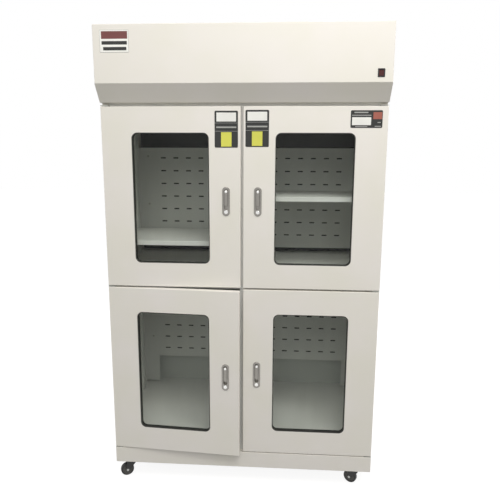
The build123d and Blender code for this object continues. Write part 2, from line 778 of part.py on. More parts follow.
# ---- Power inlet: an appliance socket set in the rear panel, face flush with it ----
with BuildPart() as power_inlet:
    with BuildSketch(Plane.XZ.offset(-rear_y)):
        with Locations((inlet_x, inlet_z)):
            Rectangle(inlet_width, inlet_tall)
    extrude(amount=inlet_depth)
    with BuildSketch(Plane.XZ.offset(-(rear_wall_y - seat_clearance))):
        with Locations((inlet_x, inlet_z)):
            Rectangle(inlet_flange_width, inlet_flange_tall)
    extrude(amount=inlet_flange_thickness)
    with BuildSketch(Plane.XZ.offset(-rear_y)):
        with Locations((inlet_x, inlet_z)):
            Rectangle(inlet_width - 2 * inlet_wall, inlet_tall - 2 * inlet_wall)
    extrude(amount=inlet_pocket_depth, mode=Mode.SUBTRACT)
    with BuildSketch(Plane.XZ.offset(-(rear_y - inlet_pocket_depth))):
        with Locations((inlet_x, inlet_z)):
            with Locations(
                (-inlet_blade_pitch, -inlet_blade_drop),
                (0, inlet_earth_rise),
                (inlet_blade_pitch, -inlet_blade_drop),
            ):
                Rectangle(inlet_blade_width, inlet_blade_tall)
    extrude(amount=-inlet_blade_length)
finish(power_inlet.part, "power_inlet")

# ---- Hinge plates: flat brackets in the gaps at the outer corners, with pins up and down ----
top_plate_z = upper_door_top + hinge_plate_clear
middle_plate_z = lower_door_top + hinge_plate_clear
hinge_levels = (
    # underside, thickness, pin above, pin below
    (kick_top, sill_gap - hinge_plate_clear, True, False),
    (middle_plate_z, middle_gap - 2 * hinge_plate_clear, True, True),
    (top_plate_z, middle_gap - 2 * hinge_plate_clear, False, True),
)
with BuildPart() as hinge_plates:
    for side in (-1, 1):
        for plate_z, plate_thickness, pin_above, pin_below in hinge_levels:
            low_x, high_x = sorted((side * (side_x - hinge_plate_width), side * side_x))
            box_between(
                (low_x, door_front_y + door_inset, plate_z), (high_x, frame_y, plate_z + plate_thickness)
            )
            pin_bottom = plate_z - (hinge_pin_length if pin_below else 0)
            pin_top = plate_z + plate_thickness + (hinge_pin_length if pin_above else 0)
            with BuildSketch(Plane.XY.offset(pin_bottom)):
                with Locations((side * pivot_x, pivot_y)):
                    Circle(hinge_pin_radius)
            extrude(amount=pin_top - pin_bottom)
finish(hinge_plates.part, "hinge_plates")

# ---- Doors, each with the pieces that ride on it ----
doors = (
    # name, side, bottom, top, angle at which the door stands
    ("upper_left", -1, upper_door_bottom, upper_door_top, 0.0),
    ("upper_right", 1, upper_door_bottom, upper_door_top, 0.0),
    ("lower_left", -1, lower_door_bottom, lower_door_top, -ajar_angle),
    ("lower_right", 1, lower_door_bottom, lower_door_top, 0.0),
)
flange_front_y = door_front_y - handle_flange
lever_front_y = flange_front_y - lever_proud
lever_back_y = lever_front_y + lever_thickness
lever_pivot_y = lever_back_y + lever_boss_radius - lever_thickness / 2 - running_clearance
bowl_back_y = door_front_y + bowl_depth
leaf_y = (door_front_y + door_back_y) / 2
glass_y = door_back_y - glass_from_back
gasket_depth = door_thickness - 2 * gasket_inset

# ---- Door seals: flat magnetic strips on the front frame, one ring behind each door ----
with BuildPart() as door_seals:
    for door_name, side, door_bottom, door_top, stand_angle in doors:
        low_x, high_x = sorted(
            (side * (centre_gap / 2 + seal_from_door_edge), side * (door_edge_x - seal_from_hinge_edge))
        )
        low_z, high_z = door_bottom + seal_from_door_edge, door_top - seal_from_door_edge
        with BuildSketch(Plane.XZ.offset(-frame_y)):
            with Locations(((low_x + high_x) / 2, (low_z + high_z) / 2)):
                Rectangle(high_x - low_x, high_z - low_z)
                Rectangle(
                    high_x - low_x - 2 * seal_width, high_z - low_z - 2 * seal_width, mode=Mode.SUBTRACT
                )
        extrude(amount=door_air_gap - seal_gap)
finish(door_seals.part, "door_seals")

for door_name, side, door_bottom, door_top, stand_angle in doors:
    hinge_axis = Axis((side * pivot_x, pivot_y, 0), (0, 0, 1))
    middle_z = (door_bottom + door_top) / 2
    middle_x = side * door_middle_x
    window_x = side * window_middle_x
    handle_x = side * handle_from_centre
    handle_z = middle_z - handle_drop
    lever_z = handle_z + lever_pivot_height
    lock_z = handle_z - lock_drop

    # Door leaf: a hollow folded shell with solid hinge corners, a window and the handle's cut-out
    with BuildPart() as door_leaf:
        with Locations((middle_x, leaf_y, middle_z)):
            Box(door_width, door_thickness, door_top - door_bottom)
        fillet(door_leaf.faces().sort_by(Axis.Y)[0].edges(), door_edge_round)
        with BuildSketch(Plane.XZ.offset(-(door_back_y - door_skin))):
            with Locations((middle_x, middle_z)):
                Rectangle(door_width - 2 * door_skin, door_top - door_bottom - 2 * door_skin)
            with Locations((window_x, middle_z)):
                RectangleRounded(
                    window_width + 2 * door_skin,
                    window_height + 2 * door_skin,
                    window_corner + door_skin,
                    mode=Mode.SUBTRACT,
                )
            corner_x = side * (door_edge_x - hinge_block / 2)
            corner_z = (door_top - door_bottom - hinge_block) / 2
            with Locations((corner_x, middle_z - corner_z), (corner_x, middle_z + corner_z)):
                Rectangle(hinge_block, hinge_block, mode=Mode.SUBTRACT)
        extrude(amount=door_thickness - 2 * door_skin, mode=Mode.SUBTRACT)
        with BuildSketch(Plane.XZ.offset(-door_back_y)):
            with Locations((window_x, middle_z)):
                RectangleRounded(window_width, window_height, window_corner)
        extrude(amount=door_thickness, mode=Mode.SUBTRACT)
        with BuildSketch(Plane.XZ.offset(-(door_front_y + door_skin))):
            with Locations((handle_x, handle_z)):
                SlotOverall(bowl_height + 2 * bowl_clearance, bowl_width + 2 * bowl_clearance, rotation=90)
        extrude(amount=door_skin, mode=Mode.SUBTRACT)
        bore_depth = hinge_pin_length + hinge_plate_clear
        for bore_z in (door_bottom, door_top - bore_depth):
            with BuildSketch(Plane.XY.offset(bore_z)):
                with Locations((side * pivot_x, pivot_y)):
                    Circle(hinge_pin_radius + running_clearance)
            extrude(amount=bore_depth, mode=Mode.SUBTRACT)
    finish(door_leaf.part.rotate(hinge_axis, stand_angle), f"door_{door_name}")

    # Window gasket: a deep, narrow rubber ring that lines the cut-out and holds the glass in a groove
    with BuildPart() as window_gasket:
        with BuildSketch(Plane.XZ.offset(-(leaf_y + gasket_depth / 2))):
            with Locations((window_x, middle_z)):
                RectangleRounded(
                    window_width - 2 * rubber_clearance,
                    window_height - 2 * rubber_clearance,
                    window_corner - rubber_clearance,
                )
                RectangleRounded(
                    window_width - 2 * gasket_width,
                    window_height - 2 * gasket_width,
                    window_corner - gasket_width,
                    mode=Mode.SUBTRACT,
                )
        extrude(amount=gasket_depth)
        groove_depth = gasket_width - glass_in_gasket - rubber_clearance
        with BuildSketch(Plane.XZ.offset(-(glass_y + glass_thickness / 2 + rubber_clearance))):
            with Locations((window_x, middle_z)):
                RectangleRounded(
                    window_width - 2 * groove_depth,
                    window_height - 2 * groove_depth,
                    window_corner - groove_depth,
                )
        extrude(amount=glass_thickness + 2 * rubber_clearance, mode=Mode.SUBTRACT)
    finish(window_gasket.part.rotate(hinge_axis, stand_angle), f"window_gasket_{door_name}")

    # Window glass: one flat pane with rounded corners
    with BuildPart() as window_glass:
        glass_inset = gasket_width - glass_in_gasket
        with BuildSketch(Plane.XZ.offset(-(glass_y + glass_thickness / 2))):
            with Locations((window_x, middle_z)):
                RectangleRounded(
                    window_width - 2 * glass_inset,
                    window_height - 2 * glass_inset,
                    window_corner - glass_inset,
                )
        extrude(amount=glass_thickness)
    finish(window_glass.part.rotate(hinge_axis, stand_angle), f"window_glass_{door_name}")

    # Handle base: a flange on the door with a bowl sunk behind it, the lever's pin and the lock's bore
    with BuildPart() as handle_base:
        with BuildSketch(Plane.XZ.offset(-door_front_y)):
            with Locations((handle_x, handle_z)):
                SlotOverall(handle_height, handle_width, rotation=90)
        extrude(amount=handle_flange)
        fillet(handle_base.faces().sort_by(Axis.Y)[0].edges(), handle_edge_round)
        with BuildSketch(Plane.XZ.offset(-door_front_y)):
            with Locations((handle_x, handle_z)):
                SlotOverall(bowl_height, bowl_width, rotation=90)
        extrude(amount=-bowl_depth)
        pocket_middle = handle_z + (pocket_top - pocket_bottom) / 2
        with BuildSketch(Plane.XZ.offset(-flange_front_y)):
            with Locations((handle_x, pocket_middle)):
                SlotOverall(pocket_top + pocket_bottom, pocket_width, rotation=90)
        extrude(amount=-(handle_flange + pocket_depth), mode=Mode.SUBTRACT)
        with BuildSketch(Plane.XZ.offset(-flange_front_y)):
            with Locations((handle_x, lock_z)):
                Circle(lock_radius + running_clearance)
        extrude(amount=-(handle_flange + bowl_depth), mode=Mode.SUBTRACT)
        pin_reach = pocket_width / 2 + sheet
        with BuildSketch(Plane.YZ.offset(handle_x - pin_reach)):
            with Locations((lever_pivot_y, lever_z)):
                Circle(lever_pin_radius)
        extrude(amount=2 * pin_reach)
    finish(handle_base.part.rotate(hinge_axis, stand_angle), f"handle_base_{door_name}")

    # Handle lever: a rounded bar hung on the pin near its top end
    with BuildPart() as handle_lever:
        bar_middle = handle_z + (lever_top - lever_bottom) / 2
        with BuildSketch(Plane.XZ.offset(-lever_back_y)):
            with Locations((handle_x, bar_middle)):
                SlotOverall(lever_top + lever_bottom, lever_width, rotation=90)
        extrude(amount=lever_thickness)
        fillet(handle_lever.faces().sort_by(Axis.Y)[0].edges(), lever_edge_round)
        with BuildSketch(Plane.YZ.offset(handle_x - lever_boss_width / 2)):
            with Locations((lever_pivot_y, lever_z)):
                Circle(lever_boss_radius)
        extrude(amount=lever_boss_width)
        with BuildSketch(Plane.YZ.offset(handle_x - lever_width / 2)):
            with Locations((lever_pivot_y, lever_z)):
                Circle(lever_pin_radius + running_clearance)
        extrude(amount=lever_width, mode=Mode.SUBTRACT)
    finish(handle_lever.part.rotate(hinge_axis, stand_angle), f"handle_lever_{door_name}")

    # Lock plug: the key cylinder with its slot in front and a cam behind the bowl
    with BuildPart() as lock_plug:
        lock_front_y = flange_front_y - lock_proud
        with BuildSketch(Plane.XZ.offset(-lock_front_y)):
            with Locations((handle_x, lock_z)):
                Circle(lock_radius)
        extrude(amount=-(bowl_back_y + lock_tail - lock_front_y))
        fillet(lock_plug.faces().sort_by(Axis.Y)[0].edges(), lock_edge_round)
        with BuildSketch(Plane.XZ.offset(-lock_front_y)):
            with Locations((handle_x, lock_z)):
                SlotOverall(key_slot_length, key_slot_width, rotation=90)
        extrude(amount=-key_slot_depth, mode=Mode.SUBTRACT)
        with BuildSketch(Plane.XZ.offset(-(bowl_back_y + lock_tail))):
            with Locations((handle_x, lock_z - cam_length / 2 + cam_width / 2)):
                SlotOverall(cam_length, cam_width, rotation=90)
        extrude(amount=-cam_thickness)
    finish(lock_plug.part.rotate(hinge_axis, stand_angle), f"lock_plug_{door_name}")

# ---- Casters: top plates bolted under the base, swivelling forks and wheels ----
caster_x = side_x - caster_from_side
caster_front_y = door_front_y + caster_from_front
caster_rear_y = rear_y - caster_from_rear
caster_places = (
    ("front_left", -caster_x, caster_front_y),
    ("front_right", caster_x, caster_front_y),
    ("rear_left", -caster_x, caster_rear_y),
    ("rear_right", caster_x, caster_rear_y),
)
with BuildPart() as caster_plates:
    for place_name, place_x, place_y in caster_places:
        with BuildSketch(Plane.XY.offset(base_z)):
            with Locations((place_x, place_y)):
                RectangleRounded(caster_plate_x, caster_plate_y, caster_plate_corner)
        extrude(amount=-caster_plate_thickness)
        with BuildSketch(Plane.XY.offset(base_z - caster_plate_thickness)):
            with Locations((place_x, place_y)):
                Circle(caster_race_radius)
        extrude(amount=-caster_race_height)
        with BuildSketch(Plane.XY.offset(race_bottom)):
            with Locations((place_x, place_y)):
                Circle(kingpin_radius)
        extrude(amount=-(fork_web + 2 * caster_race_gap))
        with BuildSketch(Plane.XY.offset(fork_top - fork_web - caster_race_gap)):
            with Locations((place_x, place_y)):
                Circle(kingpin_head_radius)
        extrude(amount=-kingpin_head_height)
finish(caster_plates.part, "caster_plates")

for (place_name, place_x, place_y), trail_angle in zip(caster_places, caster_angles):
    trail = Plane(
        origin=(place_x, place_y, 0),
        x_dir=(cos(radians(trail_angle)), sin(radians(trail_angle)), 0),
        z_dir=(sin(radians(trail_angle)), -cos(radians(trail_angle)), 0),
    )

    # Fork: a pressed yoke with two legs and the riveted axle
    with BuildPart() as caster_fork:
        with BuildSketch(trail):
            with BuildLine():
                Polyline(
                    (-fork_back, fork_top),
                    (caster_trail, fork_top),
                    (caster_trail + fork_axle_round, wheel_radius),
                    (caster_trail - fork_axle_round, wheel_radius),
                    (-fork_back, fork_top - fork_shoulder),
                    close=True,
                )
            make_face()
            with Locations((caster_trail, wheel_radius)):
                Circle(fork_axle_round)
        extrude(amount=fork_width / 2, both=True)
        long_edges = caster_fork.faces().sort_by(Axis.Z)[-1].edges().sort_by(SortBy.LENGTH)[-2:]
        fillet(long_edges, fork_leg)
        with BuildSketch(trail):
            with Locations((caster_trail, (fork_top - fork_web) / 2)):
                Rectangle(2 * (fork_back + caster_trail) + fork_leg, fork_top - fork_web)
        extrude(amount=fork_width / 2 - fork_leg, both=True, mode=Mode.SUBTRACT)
        with BuildSketch(trail):
            with Locations((caster_trail, wheel_radius)):
                Circle(axle_radius)
        extrude(amount=fork_width / 2, both=True)
        with BuildSketch(Plane.XY.offset(fork_top)):
            with Locations((place_x, place_y)):
                Circle(kingpin_radius + running_clearance)
        extrude(amount=-fork_web, mode=Mode.SUBTRACT)
    finish(caster_fork.part, f"caster_fork_{place_name}")

    # Wheel: solid tread round a dished hub, bored for the axle
    with BuildPart() as caster_wheel:
        with BuildSketch(trail):
            with Locations((caster_trail, wheel_radius)):
                Circle(wheel_radius)
        extrude(amount=wheel_width / 2, both=True)
        rims = caster_wheel.edges().filter_by(GeomType.CIRCLE)
        fillet(rims, wheel_round)
        for outward in (-1, 1):
            with BuildSketch(trail.offset(outward * wheel_width / 2)):
                with Locations((caster_trail, wheel_radius)):
                    Circle(wheel_dish_radius)
                    Circle(wheel_hub_radius, mode=Mode.SUBTRACT)
            extrude(amount=-outward * wheel_dish_depth, mode=Mode.SUBTRACT)
        hub_half = fork_width / 2 - fork_leg - fork_side_gap
        with BuildSketch(trail):
            with Locations((caster_trail, wheel_radius)):
                Circle(wheel_hub_radius)
        extrude(amount=hub_half, both=True)
        with BuildSketch(trail):
            with Locations((caster_trail, wheel_radius)):
                Circle(axle_radius + running_clearance)
        extrude(amount=hub_half, both=True, mode=Mode.SUBTRACT)
    finish(caster_wheel.part, f"caster_wheel_{place_name}")
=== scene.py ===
"""Looks of a four-door ventilated storage cabinet, built round its construction model, in metres."""
import json
from math import cos, radians, sin

import bpy
import numpy as np
from mathutils import Matrix, Vector


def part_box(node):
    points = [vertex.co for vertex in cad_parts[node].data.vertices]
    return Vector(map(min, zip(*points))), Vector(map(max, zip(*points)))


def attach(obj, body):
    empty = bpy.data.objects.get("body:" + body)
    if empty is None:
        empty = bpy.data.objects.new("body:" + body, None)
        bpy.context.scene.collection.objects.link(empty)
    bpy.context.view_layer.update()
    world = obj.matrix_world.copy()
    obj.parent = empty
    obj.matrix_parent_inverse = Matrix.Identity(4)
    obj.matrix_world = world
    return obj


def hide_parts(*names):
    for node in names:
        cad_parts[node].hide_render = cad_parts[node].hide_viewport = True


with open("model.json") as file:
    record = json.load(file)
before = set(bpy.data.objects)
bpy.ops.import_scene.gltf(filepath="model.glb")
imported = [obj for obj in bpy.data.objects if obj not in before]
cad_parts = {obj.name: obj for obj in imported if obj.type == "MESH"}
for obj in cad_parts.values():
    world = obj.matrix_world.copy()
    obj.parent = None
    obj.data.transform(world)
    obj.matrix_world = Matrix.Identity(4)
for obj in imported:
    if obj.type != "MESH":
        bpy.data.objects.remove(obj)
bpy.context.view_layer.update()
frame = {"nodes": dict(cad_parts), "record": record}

scene = bpy.context.scene
scene.view_settings.view_transform = "Standard"

# ---- Camera ----
# It stands a little right of the middle, at eye level, and looks slightly down and left, as in the
# photograph. The lens takes in about as much as a phone's, held upright and cropped to a square.
camera_place = Vector((0.1772, -2.4414, 1.5279))
camera_yaw = radians(-3.73)
camera_pitch = radians(-10.41)
camera_roll = radians(0.27)
camera_data = bpy.data.cameras.new("camera")
camera_data.sensor_width = 36.0
camera_data.lens = 36.62
camera = bpy.data.objects.new("camera", camera_data)
scene.collection.objects.link(camera)
level_reach = cos(camera_pitch)
forward = Vector((sin(camera_yaw) * level_reach, cos(camera_yaw) * level_reach, sin(camera_pitch)))
level_right = forward.cross(Vector((0, 0, 1))).normalized()
level_up = level_right.cross(forward)
right = cos(camera_roll) * level_right + sin(camera_roll) * level_up
up = cos(camera_roll) * level_up - sin(camera_roll) * level_right
camera_turn = Matrix((right, up, -forward)).transposed().to_4x4()
camera.matrix_world = Matrix.Translation(camera_place) @ camera_turn
scene.camera = camera


# ---- Floor ----
# A seamless sheet of pale paper. It is lit like the cabinet, and what the camera and mirrors see of it
# is lifted towards white, so that only the soft shadow under the cabinet is left on it.
def linear(colour):
    """Linear RGBA of an sRGB hex colour: c / 12.92 up to 0.04045, and ((c + 0.055) / 1.055) ^ 2.4
    above it."""
    c = np.array([int(colour[i : i + 2], 16) for i in (1, 3, 5)]) / 255
    return (*np.where(c <= 0.04045, c / 12.92, ((c + 0.055) / 1.055) ** 2.4).tolist(), 1.0)


def add(tree, kind, settings=(), **inputs):
    """Adds one node. The settings are pairs. An input is a value or the socket that is linked to it,
    under the socket's name with _ for a space, or n and its number."""
    node = tree.nodes.new(kind)
    for name, value in settings:
        setattr(node, name, value)
    for name, value in inputs.items():
        socket = node.inputs[int(name[1:]) if name[1:].isdigit() else name.replace("_", " ")]
        if isinstance(value, bpy.types.NodeSocket):
            tree.links.new(value, socket)
        else:
            socket.default_value = value
    return node


def new_material(name):
    """A material with an empty tree."""
    material = bpy.data.materials.new(name)
    material.use_nodes = True
    material.node_tree.nodes.clear()
    return material, material.node_tree


def seen_directly(tree):
    """1 for rays from the camera, a mirror or a pane of glass, else 0."""
    path = add(tree, "ShaderNodeLightPath").outputs
    most = (("operation", "MAXIMUM"),)
    mirrored = add(tree, "ShaderNodeMath", most, n0=path["Is Camera Ray"], n1=path["Is Glossy Ray"])
    seen = add(tree, "ShaderNodeMath", most, n0=mirrored.outputs[0], n1=path["Is Transmission Ray"])
    return seen.outputs[0]


floor_size = 40.0
floor_grey = "#828180"
floor_lift = 0.89
floor_paper, tree = new_material("pale_paper")
lift = add(tree, "ShaderNodeMath", (("operation", "MULTIPLY"),), n0=seen_directly(tree), n1=floor_lift)
paper = add(tree, "ShaderNodeBsdfDiffuse", Color=linear(floor_grey))
glow = add(tree, "ShaderNodeEmission", Strength=lift.outputs[0])
lit = add(tree, "ShaderNodeAddShader", n0=paper.outputs[0], n1=glow.outputs[0])
add(tree, "ShaderNodeOutputMaterial", Surface=lit.outputs[0])
floor_mesh = bpy.data.meshes.new("floor")
floor_corners = np.array([(-1, -1, 0), (1, -1, 0), (1, 1, 0), (-1, 1, 0)]) * floor_size / 2
floor_mesh.from_pydata(floor_corners.tolist(), [], [(0, 1, 2, 3)])
floor_mesh.materials.append(floor_paper)
floor = bpy.data.objects.new("floor", floor_mesh)
scene.collection.objects.link(floor)

# ---- Studio light ----
# One large soft box hangs high in front, so that the light comes down steeply, falls off towards the
# floor and reaches the floors of the bays, as it does under a lit ceiling. Weaker ones stand far in front
# and at the sides, and a strong one lights the back, in a white room.
room_fill = 0.56
world = bpy.data.worlds.new("room")
world.use_nodes = True
tree = world.node_tree
tree.nodes.clear()
strength = add(tree, "ShaderNodeMapRange", Value=seen_directly(tree), To_Min=room_fill, To_Max=1.0)
room = add(tree, "ShaderNodeBackground", Color=(1, 1, 1, 1), Strength=strength.outputs[0])
add(tree, "ShaderNodeOutputWorld", Surface=room.outputs[0])
scene.world = world

soft_boxes = (
    # name, colour, place, what it points at, width, height, watts
    ("top_box", "#FFFDF8", (0.8, -2.2, 3.7), (0, 0, 1.0), 2.4, 1.2, 58),
    ("far_box", "#FFFDF8", (0, -4.5, 3.6), (0, 0, 1.0), 3.0, 1.5, 30),
    ("right_box", "#FFF8F0", (3.2, -0.6, 2.2), (0, 0, 1.0), 1.8, 2.2, 14),
    ("left_box", "#FFFFFF", (-3.2, -0.4, 2.2), (0, 0, 1.0), 1.8, 2.2, 14),
    ("back_box", "#FFFFFF", (0.4, 3.6, 1.6), (0, 0, 1.1), 2.4, 1.6, 60),
)
for box_name, box_colour, box_place, box_target, box_width, box_height, box_watts in soft_boxes:
    lamp = bpy.data.lights.new(box_name, "AREA")
    lamp.shape = "RECTANGLE"
    lamp.size, lamp.size_y = box_width, box_height
    lamp.energy = box_watts
    lamp.color = linear(box_colour)[:3]
    soft_box = bpy.data.objects.new(box_name, lamp)
    soft_box.location = box_place
    aim = Vector(box_target) - Vector(box_place)
    soft_box.rotation_euler = aim.to_track_quat("-Z", "Y").to_euler()
    scene.collection.objects.link(soft_box)


# ---- Casing, doors and kick panel ----
# Folded and spot-welded mild steel sheet with a cream powder coat. The baked coat has a fine orange
# peel and a soft sheen, and the thin sheet is not quite flat.
def per_mm(length):
    """Scale of a pattern on Object coordinates whose features are that many millimetres long."""
    return 1000 / length


def powder_coat(name, cream, cloud, roughness):
    """Powder-coated steel sheet. The peel is drawn 4 mm long, about twice the real one, so that it
    shows, and shifts the roughness by 0.05. The clouds mix two creams over 250 mm, and the sheet waves
    over 300 mm."""
    material, tree = new_material(name)
    place = add(tree, "ShaderNodeTexCoord").outputs["Object"]
    clouds = add(tree, "ShaderNodeTexNoise", Vector=place, Scale=per_mm(250), Detail=3.0).outputs["Fac"]
    softened = add(tree, "ShaderNodeMapRange", Value=clouds, From_Min=0.35, From_Max=0.65).outputs[0]
    kind = (("data_type", "RGBA"),)
    creams = add(tree, "ShaderNodeMix", kind, n0=softened, n6=linear(cream), n7=linear(cloud))
    peel = add(tree, "ShaderNodeTexNoise", Vector=place, Scale=per_mm(4), Detail=2.0).outputs["Fac"]
    waves = add(tree, "ShaderNodeTexNoise", Vector=place, Scale=per_mm(300), Detail=1.0).outputs["Fac"]
    wavy = add(tree, "ShaderNodeBump", Height=waves, Strength=0.25, Distance=0.003).outputs[0]
    skin = add(tree, "ShaderNodeBump", Height=peel, Strength=0.12, Distance=0.0006, Normal=wavy)
    sheen = add(
        tree, "ShaderNodeMapRange", Value=peel, To_Min=roughness - 0.05, To_Max=roughness + 0.05
    )
    coat = add(
        tree,
        "ShaderNodeBsdfPrincipled",
        Base_Color=creams.outputs[2],
        Roughness=sheen.outputs[0],
        IOR=1.5,
        Normal=skin.outputs[0],
    )
    add(tree, "ShaderNodeOutputMaterial", Surface=coat.outputs[0])
    return material


def finish_nodes(material, *names):
    """Gives CAD nodes their finish."""
    for name in names:
        materials = frame["nodes"][name].data.materials
        materials.clear()
        materials.append(material)


door_names = ("upper_left", "upper_right", "lower_left", "lower_right")
outer_cream = ("#EBE8DE", "#EEEAE4")
outer_roughness = 0.42
cream_coat = powder_coat("cream_powder_coat", *outer_cream, outer_roughness)
finish_nodes(cream_coat, "kick_panel", "hood_casing", "hood_apron", "base_plate")
finish_nodes(cream_coat, *(f"door_{door}" for door in door_names))

# ---- Rear panel ----
# The same coated sheet. Its inner face is painted greyer, as painted shade behind the lower baffle's
# cut-out, and above the cut-out, in the narrow air duct, it is painted black as shade, so the slots read
# black.
sheet_thickness = 0.0015
rear_sheet_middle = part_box("rear_panel")[1].y - sheet_thickness / 2
duct_bottom = 0.41  # just above the cut-out
# painted shade: the rear sheet's inner face is greyed to stand for the shade behind the cut-out
rear_painted_shade_grey = "#C3C6C1"
# painted shade: black stands for the dark inside the air duct and inside the upright hollows
painted_shade_black = "#1E1F1C"


def recoat(material, tone, mask):
    """Gives the coat another tone where mask(tree, spot) is 1, for the spot's X, Y and Z: colour = coat *
    (1 - mask) + tone * mask."""
    tree = material.node_tree
    coat = next(node for node in tree.nodes if node.type == "BSDF_PRINCIPLED")
    coated = coat.inputs["Base Color"].links[0].from_socket
    place = add(tree, "ShaderNodeTexCoord").outputs["Object"]
    where = mask(tree, add(tree, "ShaderNodeSeparateXYZ", Vector=place).outputs)
    kind = (("data_type", "RGBA"),)
    tones = add(tree, "ShaderNodeMix", kind, n0=where, n6=coated, n7=linear(tone))
    tree.links.new(tones.outputs[2], coat.inputs["Base Color"])


def rear_inner_half(tree, spot):
    """1 on the rear sheet's inner half, which is before its middle in Y."""
    less = (("operation", "LESS_THAN"),)
    return add(tree, "ShaderNodeMath", less, n0=spot["Y"], n1=rear_sheet_middle).outputs[0]


def inside_duct(tree, spot):
    """1 on that half above the duct's lower end."""
    more = (("operation", "GREATER_THAN"),)
    both = (("operation", "MULTIPLY"),)
    above = add(tree, "ShaderNodeMath", more, n0=spot["Z"], n1=duct_bottom).outputs[0]
    return add(tree, "ShaderNodeMath", both, n0=rear_inner_half(tree, spot), n1=above).outputs[0]


rear_coat = powder_coat("rear_powder_coat", *outer_cream, outer_roughness)
recoat(rear_coat, rear_painted_shade_grey, rear_inner_half)
recoat(rear_coat, painted_shade_black, inside_duct)
finish_nodes(rear_coat, "rear_panel")

# ---- Side panels and slotted uprights ----
# The uprights are channels on the side panels, and square tubes in the middle. Their hollows are painted
# black as shade, so their slots read dark, and the uprights are painted greyer than the liner as shade.
upright_width = 0.040
upright_stand = 0.020


def inside_uprights(tree, spot):
    """1 inside the hollows: where Y is within a front or a rear upright, and |X| is within the middle
    tube or within the channel on the wall."""
    low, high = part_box("shelf_uprights")
    near = (("operation", "COMPARE"),)
    most = (("operation", "MAXIMUM"),)
    inner_half = (upright_width - sheet_thickness) / 2
    front_y, rear_y = low.y + upright_width / 2, high.y - upright_width / 2
    front = add(tree, "ShaderNodeMath", near, n0=spot["Y"], n1=front_y, n2=inner_half)
    rear = add(tree, "ShaderNodeMath", near, n0=spot["Y"], n1=rear_y, n2=inner_half)
    lengthways = add(tree, "ShaderNodeMath", most, n0=front.outputs[0], n1=rear.outputs[0])
    aside = add(tree, "ShaderNodeMath", (("operation", "ABSOLUTE"),), n0=spot["X"]).outputs[0]
    tube = add(tree, "ShaderNodeMath", near, n0=aside, n1=0.0, n2=inner_half)
    channel_middle = high.x - (upright_stand - sheet_thickness) / 2
    channel = add(tree, "ShaderNodeMath", near, n0=aside, n1=channel_middle, n2=upright_stand / 2)
    crossways = add(tree, "ShaderNodeMath", most, n0=tube.outputs[0], n1=channel.outputs[0])
    both = (("operation", "MULTIPLY"),)
    inside = add(tree, "ShaderNodeMath", both, n0=lengthways.outputs[0], n1=crossways.outputs[0])
    return inside.outputs[0]


side_coat = powder_coat("side_powder_coat", *outer_cream, outer_roughness)
# painted shade: the uprights' coat is greyed to stand for the shade they lie in
upright_coat = powder_coat("slotted_upright_coat_painted_shade", "#DEDFDB", "#E2E3E0", 0.50)
# painted shade: black inside the upright hollows, behind their slots
for coat in (side_coat, upright_coat):
    recoat(coat, painted_shade_black, inside_uprights)
finish_nodes(side_coat, "side_panel_left", "side_panel_right")
finish_nodes(upright_coat, "shelf_uprights")

# ---- Floors, posts, baffles and shelves ----
# The same sheet steel in a slightly cooler off-white coat, which lies in the shade behind the glass. The
# baffles, like the uprights, are painted greyer than the floors and shelves, as painted shade.
liner_coat = powder_coat("white_liner_coat", "#ECECE8", "#EFEFEC", 0.48)
# painted shade: the baffles' coat is greyed to stand for the shade they lie in
baffle_coat = powder_coat("baffle_coat_painted_shade", "#D5D6D1", "#D9DAD6", 0.50)
finish_nodes(liner_coat, "lower_floor", "middle_floor", "roof_panel", "centre_posts")
finish_nodes(liner_coat, "shelf_left", "shelf_right")
finish_nodes(baffle_coat, "baffle_upper", "baffle_lower")


# ---- Hinge plates, clips and screws ----
# Flat steel brackets with turned pins that the doors hang on, small folded clips that carry the
# shelves, and stand-off screws that hold the baffles. Their bright zinc plate has a dull sheen.
def plated_metal(name, colour, dark, roughness, spangle, stretch):
    """Plated metal. The spangles, of that many millimetres and stretched along Z by that factor, mix
    the two colours and scale the roughness by 0.7 to 1.3."""
    material, tree = new_material(name)
    place = add(tree, "ShaderNodeTexCoord").outputs["Object"]
    drawn = add(tree, "ShaderNodeMapping", Vector=place, Scale=(1, 1, 1 / stretch)).outputs[0]
    spot_scale = per_mm(spangle)
    spots = add(tree, "ShaderNodeTexNoise", Vector=drawn, Scale=spot_scale, Detail=3.0).outputs["Fac"]
    kind = (("data_type", "RGBA"),)
    tones = add(tree, "ShaderNodeMix", kind, n0=spots, n6=linear(colour), n7=linear(dark))
    dulled = add(
        tree, "ShaderNodeMapRange", Value=spots, To_Min=roughness * 0.7, To_Max=roughness * 1.3
    )
    grain = add(tree, "ShaderNodeBump", Height=spots, Strength=0.06, Distance=0.0003)
    metal = add(
        tree,
        "ShaderNodeBsdfPrincipled",
        Base_Color=tones.outputs[2],
        Metallic=1.0,
        Roughness=dulled.outputs[0],
        Normal=grain.outputs[0],
    )
    add(tree, "ShaderNodeOutputMaterial", Surface=metal.outputs[0])
    return material


bright_zinc = plated_metal("bright_zinc_plate", "#C4C4BC", "#A5A69F", 0.38, 6, 1)
finish_nodes(bright_zinc, "hinge_plates", "shelf_clips", "baffle_screws")


